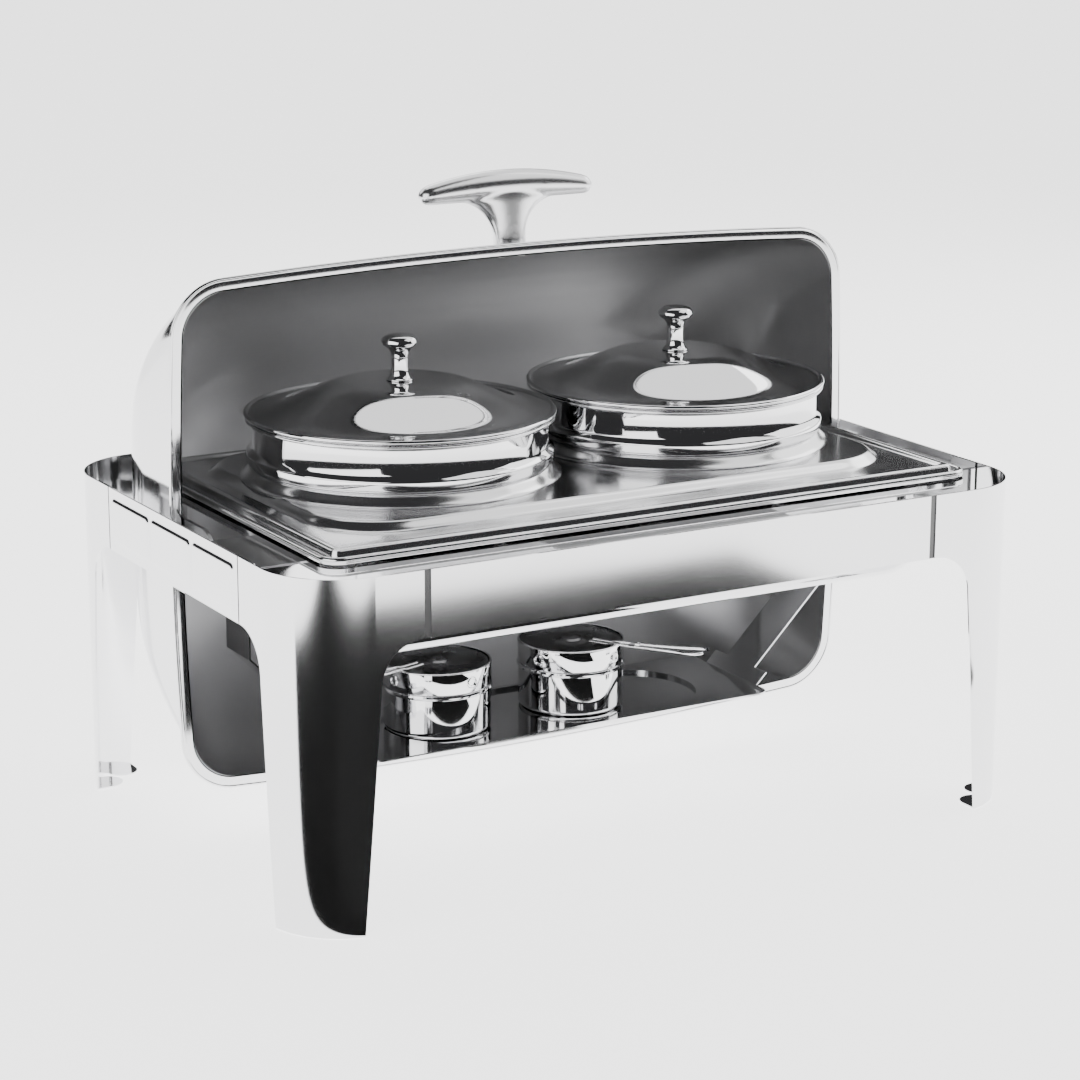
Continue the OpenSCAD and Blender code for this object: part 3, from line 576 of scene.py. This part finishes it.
def make_knob(tag):
    """Turned mushroom knob with a blind hole for its screw."""
    low, high = box_of("lid_knob_" + tag)
    centre = node_axis(low, high, low.z)
    cap_r = (high.x - low.x) / 2
    top = high.z - low.z
    outline = [(2.2 * MM, 0), (9.6 * MM, 0)]
    outline += arc((9.2 * MM, 0.8 * MM), 0.8 * MM, -90, 70, 5)
    outline += [(7.9 * MM, 2.9 * MM), (6.9 * MM, 4.8 * MM), (6.4 * MM, 7.5 * MM), (6.2 * MM, 12 * MM)]
    outline += [(6.3 * MM, 17 * MM), (6.9 * MM, 20.4 * MM), (8.6 * MM, 23.2 * MM), (11 * MM, 24.9 * MM)]
    outline += [(cap_r - 0.8 * MM, 26.2 * MM), (cap_r, 28.2 * MM), (cap_r - 0.5 * MM, 30.2 * MM)]
    outline += [(cap_r - 2.2 * MM, 32.0 * MM), (9 * MM, 33.2 * MM), (5 * MM, top - 0.2 * MM), (0, top)]
    outline += [(0, 14 * MM), (2.2 * MM, 14 * MM)]
    lathe("knob_%s_turned" % tag, outline, centre, MIRROR,
          "lid_%s_body" % tag, ["lid_knob_" + tag], steps=96)


for side_tag in ("left", "right"):
    make_pot(side_tag)
    make_lid(side_tag)
    make_knob(side_tag)

# ---------------------------------------------------------------- burners


def make_burner(tag):
    """Drawn fuel cup with a bead near its top."""
    low, high = box_of("burner_cup_" + tag)
    centre = node_axis(low, high, low.z)
    bead_r = (high.x - low.x) / 2
    r = bead_r - 1.4 * MM
    level = high.z - low.z - 2 * MM
    foot = 4 * MM
    cup = [(0, 0)] + [(r - foot + x, foot + z) for x, z in arc((0, 0), foot, -90, 0, 6)]
    cup += [(r, level - 2 * MM), (r + 0.9 * MM, level - 1.4 * MM), (r + 1.4 * MM, level)]
    cup += [(r + 0.9 * MM, level + 1.4 * MM), (r, level + 2 * MM), (r - 1 * MM, level + 2 * MM)]
    cup += [(r - 1 * MM, foot), (r - foot, 1 * MM), (0, 1 * MM)]
    lathe("burner_cup_%s_drawn" % tag, cup, centre, MIRROR,
          "burner_%s_body" % tag, ["burner_cup_" + tag])


EYELETS = 4
VENT_Z = 43 * MM
VENT_R = 2.4
EYELET_OUTLINE = [(4.6, -0.6), (4.6, 0.1), (4.3, 0.7), (3.6, 1.1), (2.9, 1.0), (2.4, 0.5), (2.3, -0.6)]
UP = Vector((0, 0, 1))


def make_collar(tag, first):
    """Collar above the cup's bead, with raised eyelets round the vents."""
    low, high = box_of("burner_collar_" + tag)
    cup_low, cup_high = box_of("burner_cup_" + tag)
    centre = node_axis(cup_low, cup_high, cup_low.z)
    r = (cup_high.x - cup_low.x) / 2 - 0.8 * MM
    bottom = low.z - cup_low.z
    top = high.z - cup_low.z
    body = "burner_%s_body" % tag
    node = "burner_collar_" + tag
    wall = [(r - 1.6 * MM, bottom), (r - 0.4 * MM, bottom), (r, bottom + 0.6 * MM), (r, top - 1.2 * MM)]
    wall += arc((r - 1 * MM, top - 1 * MM), 1 * MM, 10, 90, 4)
    wall += [(r - 1.9 * MM, top - 0.3 * MM), (r - 1.6 * MM, top - 2 * MM)]
    lathe("burner_collar_%s_wall" % tag, wall, centre, MIRROR, body, [node])
    for k in range(EYELETS):
        angle = math.radians(first + 90 * k)
        out = Vector((math.cos(angle), math.sin(angle), 0))
        across = Vector((-math.sin(angle), math.cos(angle), 0))
        hub = centre + UP * VENT_Z + out * (r - 0.3 * MM)
        steps = 40
        rings = [ellipse_loop(hub + out * (lift * MM), across, UP, size * MM, size * MM, steps)
                 for size, lift in EYELET_OUTLINE]
        vertices, faces = skin(rings, closed_path=True)
        add_piece("burner_%s_eyelet_%d" % (tag, k + 1), vertices, faces, MIRROR, body, [node])
        hole = ellipse_loop(hub + out * (0.15 * MM), across, UP, VENT_R * MM, VENT_R * MM, steps)
        back = [p - out * (0.5 * MM) for p in hole]
        vertices, faces = capped([hole, back])
        add_piece("burner_%s_vent_%d" % (tag, k + 1), vertices, faces, BLACK, body, [node])


def tube(name, points, diameter, material, body, replaces):
    """Round wire along a smooth path."""
    path = []
    for i in range(len(points) - 1):
        before = points[max(i - 1, 0)]
        a, b = points[i], points[i + 1]
        after = points[min(i + 2, len(points) - 1)]
        for k in range(6):
            t = k / 6
            path.append(0.5 * ((2 * a) + (b - before) * t + (2 * before - 5 * a + 4 * b - after) * t * t
                               + (3 * a - before - 3 * b + after) * t ** 3))
    path.append(points[-1])
    loops = []
    for i, p in enumerate(path):
        along = (path[min(i + 1, len(path) - 1)] - path[max(i - 1, 0)]).normalized()
        across = along.cross(UP).normalized()
        loops.append(ellipse_loop(p, across, across.cross(along), diameter / 2, diameter / 2, 14))
    vertices, faces = capped(loops)
    return add_piece(name, vertices, faces, material, body, replaces)


# half of the wire loop, in millimetres: distance from the cover's axis, distance aside, lift
WIRE_PATH = [(18, 3, 0), (34, 3.2, 0), (40, 3.4, 1.0), (66, 4.3, 1.8), (90, 5.8, 3.0),
             (103, 7.6, 3.8), (109, 8.0, 4.3), (112.5, 7.0, 4.8), (114, 4.6, 5.0)]


def make_cover_and_wire(tag, turn):
    """The burner's turning cover and the looped wire handle that turns it."""
    low, high = box_of("burner_cover_" + tag)
    centre = node_axis(low, high, low.z)
    r = (high.x - low.x) / 2
    top = high.z - low.z - 1.8 * MM
    body = "cover_%s_body" % tag
    disc = [(0, top - 1.2 * MM), (r - 1 * MM, top - 1.2 * MM), (r - 1 * MM, 0), (r, 0), (r, top - 0.8 * MM)]
    disc += arc((r - 0.8 * MM, top - 0.8 * MM), 0.8 * MM, 10, 90, 4)
    disc += [(r - 6 * MM, top), (r - 7 * MM, top - 0.6 * MM), (12 * MM, top - 0.6 * MM), (9 * MM, top)]
    disc += [(7.8 * MM, top + 1.5 * MM), (6.5 * MM, top + 1.8 * MM), (0, top + 1.8 * MM)]
    lathe("burner_cover_%s_disc" % tag, disc, centre, DARK, body, ["burner_cover_" + tag])
    seat = top + 1.2 * MM
    along = Vector((math.cos(turn), math.sin(turn), 0))
    across = Vector((-math.sin(turn), math.cos(turn), 0))
    node = "burner_wire_" + tag

    def place(reach, aside, lift):
        """Point along the handle, in millimetres from the cover's axis."""
        return centre + along * (reach * MM) + across * (aside * MM) + UP * (seat + lift * MM)

    for sign, end in ((1, "a"), (-1, "b")):
        points = [place(reach, sign * aside, lift) for reach, aside, lift in WIRE_PATH]
        tube("burner_wire_%s_%s" % (tag, end), points, 2.2 * MM, WIRE, body, [node])
    ferrule = [place(52, 0, 1.4), place(57, 0, 1.5)]
    loops = [ellipse_loop(p, across, UP, 5.4 * MM, 1.7 * MM, 20) for p in ferrule]
    vertices, faces = capped(loops)
    add_piece("burner_wire_%s_clip" % tag, vertices, faces, WIRE, body, [node])


for side_tag, first_vent, handle_turn in (("left", -79, -163), ("right", -67, -59)):
    make_burner(side_tag)
    make_collar(side_tag, first_vent)
    make_cover_and_wire(side_tag, math.radians(handle_turn))

# ---------------------------------------------------------------- rails

LEG_ARM_END = Vector(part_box("leg_front_left")[1]).x
SHEET = 1.2 * MM


def slab(name, low, high, material, body, replaces):
    """Thin sheet between two opposite corners."""
    (x0, y0, z0), (x1, y1, z1) = low, high
    corners = [(x, y, z) for x in (x0, x1) for y in (y0, y1) for z in (z0, z1)]
    faces = [(0, 1, 3, 2), (4, 6, 7, 5), (0, 4, 5, 1), (2, 3, 7, 6), (0, 2, 6, 4), (1, 5, 7, 3)]
    return add_piece(name, corners, faces, material, body, replaces)


def make_long_rail(tag, sign):
    """Polished outer skin, satin inner skin and a dark strip of painted shade in the joggled groove at each
    end.
    """
    node = tag + "_rail"
    low, high = box_of(node)
    face = high.y if sign > 0 else low.y
    groove = 5 * MM
    half = -LEG_ARM_END - groove

    def layer(name, x0, x1, y0, y1, material):
        """One layer of the rail, between two depths under its outer face."""
        a, b = sorted((face - sign * y0, face - sign * y1))
        slab(name, (x0, a, low.z), (x1, b, high.z), material, "stand", [node])

    layer(node + "_outer", -half, half, 0, 0.7 * MM, POLISHED)
    layer(node + "_inner", low.x, high.x, 1.3 * MM, 2.4 * MM, PALE)
    layer(node + "_core", -half, half, 0.7 * MM, 1.3 * MM, POLISHED)
    for side, end in ((-1, "left"), (1, "right")):
        x0, x1 = sorted((side * half, side * (half + groove)))
        # dark strip of painted shade: the joggle's bent face in shadow
        layer("%s_groove_%s" % (node, end), x0, x1, 1.0 * MM, 1.3 * MM, DARK)


def make_side_rail(tag, sign):
    """Side rail with three softly pressed pads."""
    node = tag + "_rail"
    low, high = box_of(node)
    outer = high.x if sign > 0 else low.x
    pad = 1.2 * MM
    base = outer - sign * pad
    half_len = (high.y - low.y) / 2 - 23.5 * MM
    margin = 8 * MM
    pitch = (2 * half_len - margin) / 3
    pad_half = (pitch - margin / 2) / 2
    pad_tall = (high.z - low.z) / 2 - margin
    ease = 3 * MM
    mid_z = (high.z + low.z) / 2
    columns, rows = 220, 46
    ys = [-half_len + 2 * half_len * i / columns for i in range(columns + 1)]
    zs = [low.z + (high.z - low.z) * j / rows for j in range(rows + 1)]
    corner = 4 * MM

    def press(y, z):
        """How far the face stands out: full over a pad, eased to nothing round it."""
        nearest = min((-1, 0, 1), key=lambda k: abs(y - k * pitch))
        dy = abs(y - nearest * pitch) - pad_half + corner
        dz = abs(z - mid_z) - pad_tall + corner
        edge = math.hypot(max(dy, 0), max(dz, 0)) + min(max(dy, dz), 0) - corner
        t = min(1.0, max(0.0, 0.5 - edge / ease))
        return pad * t * t * (3 - 2 * t)

    layers = (("_face", 0.0, POLISHED, "polished_steel"), ("_back", 1.1 * MM, PALE, "satin_steel"))
    for name, shift, material, slot in layers:
        front = [(base + sign * (press(y, z) - shift), y, z) for z in zs for y in ys]
        back = [(x - sign * 0.55 * MM, y, z) for x, y, z in front]
        n, m = len(ys), len(zs)
        faces = []
        for j in range(m - 1):
            for i in range(n - 1):
                a = j * n + i
                faces.append((a, a + 1, a + n + 1, a + n))
                b = a + n * m
                faces.append((b, b + n, b + n + 1, b + 1))
        rim = list(range(n)) + [j * n + n - 1 for j in range(1, m)]
        rim += [(m - 1) * n + i for i in range(n - 2, -1, -1)] + [j * n for j in range(m - 2, 0, -1)]
        faces += [(a, b, b + n * m, a + n * m) for a, b in zip(rim, rim[1:] + rim[:1])]
        add_piece(node + name, front + back, faces, material, "stand", [node])
    for end in (-1, 1):
        y0, y1 = sorted((end * (half_len - 6 * MM), end * high.y))
        x0, x1 = sorted((base - sign * SHEET, base - sign * 2 * SHEET))
        lap_name = "%s_lap_%s" % (node, "front" if end < 0 else "back")
        slab(lap_name, (x0, y0, low.z), (x1, y1, high.z), POLISHED, "stand", [node])


make_long_rail("front", -1)
make_long_rail("rear", 1)
make_side_rail("left", -1)
make_side_rail("right", 1)
frame["nodes"]["front_ledge"].data.materials[0] = PALE

# ---------------------------------------------------------------- room and light


def plain_sheet(name, corners, material):
    """A flat quad that is part of the studio."""
    mesh = bpy.data.meshes.new(name)
    mesh.from_pydata(corners, [], [(0, 1, 2, 3)])
    mesh.materials.append(material)
    sheet = bpy.data.objects.new(name, mesh)
    SCENE.collection.objects.link(sheet)
    return sheet


def make_floor():
    """Pale floor with a little light of its own, so that it stays even out to the horizon."""
    size = 30.0
    material = bpy.data.materials.new("pale_floor")
    material.use_nodes = True
    shader = material.node_tree.nodes["Principled BSDF"]
    shader.inputs["Base Color"].default_value = (0.8, 0.8, 0.8, 1)
    shader.inputs["Roughness"].default_value = 0.9
    shader.inputs["Specular IOR Level"].default_value = 0.0
    shader.inputs["Emission Color"].default_value = (1, 1, 1, 1)
    shader.inputs["Emission Strength"].default_value = 2.6
    z = -0.0005
    plain_sheet("floor", [(-size, -size, z), (size, -size, z), (size, size, z), (-size, size, z)], material)


def flag(name, low, high):
    """Black card lying on the floor. Only the polished steel sees it."""
    material = bpy.data.materials.new(name)
    material.use_nodes = True
    shader = material.node_tree.nodes["Principled BSDF"]
    shader.inputs["Base Color"].default_value = (0.01, 0.01, 0.01, 1)
    shader.inputs["Roughness"].default_value = 1.0
    shader.inputs["Specular IOR Level"].default_value = 0.0
    z = 0.0002
    corners = [(low[0], low[1], z), (high[0], low[1], z), (high[0], high[1], z), (low[0], high[1], z)]
    card = plain_sheet(name, corners, material)
    card.visible_camera = False
    card.visible_shadow = False
    card.visible_diffuse = False


def softbox(name, place, aim, width, height, brightness):
    """Rectangular light panel whose face has the given brightness."""
    data = bpy.data.lights.new(name, "AREA")
    data.shape = "RECTANGLE"
    data.size = width
    data.size_y = height
    data.energy = brightness * math.pi * width * height
    light = bpy.data.objects.new(name, data)
    light.location = place
    light.rotation_euler = (Vector(aim) - Vector(place)).to_track_quat("-Z", "Y").to_euler()
    SCENE.collection.objects.link(light)
    return light


def panel_at(name, azimuth, elevation, distance, width, height, brightness, aim=(0, 0, 0.25)):
    """Softbox seen from the object at that azimuth (0 is the front, 90 the right) and elevation."""
    a = math.radians(azimuth)
    e = math.radians(elevation)
    towards = Vector((math.sin(a) * math.cos(e), -math.cos(a) * math.cos(e), math.sin(e)))
    place = Vector(aim) + distance * towards
    return softbox(name, place, aim, width, height, brightness)


def make_world():
    """White to the camera, dark to the metal, so that the polished steel keeps its contrast."""
    world = bpy.data.worlds.new("studio")
    world.use_nodes = True
    nodes = world.node_tree.nodes
    links = world.node_tree.links
    seen = nodes["Background"]
    seen.inputs["Color"].default_value = (1, 1, 1, 1)
    seen.inputs["Strength"].default_value = 3.0
    around = nodes.new("ShaderNodeBackground")
    around.inputs["Color"].default_value = (0.035, 0.035, 0.037, 1)
    around.inputs["Strength"].default_value = 1.0
    mix = nodes.new("ShaderNodeMixShader")
    path = nodes.new("ShaderNodeLightPath")
    links.new(path.outputs["Is Camera Ray"], mix.inputs["Fac"])
    links.new(around.outputs["Background"], mix.inputs[1])
    links.new(seen.outputs["Background"], mix.inputs[2])
    links.new(mix.outputs["Shader"], nodes["World Output"].inputs["Surface"])
    SCENE.world = world


make_floor()
make_world()
flag("flag_front_left", (-1.0, -1.02), (0.10, -0.208))
flag("flag_front", (0.10, -0.93), (0.52, -0.42))
panel_at("left_panel", -72, 24, 2.4, 2.6, 1.5, 2.8)
panel_at("right_panel", 92, 24, 2.4, 3.0, 1.5, 2.4)
softbox("top_panel", (0.95, 0.75, 1.6), (0.45, 0.0, 0.3), 2.6, 1.7, 1.5)
panel_at("front_top_panel", 57, 56, 1.7, 1.1, 0.9, 1.6)
panel_at("back_panel", 180, 30, 2.6, 2.6, 1.2, 1.8)
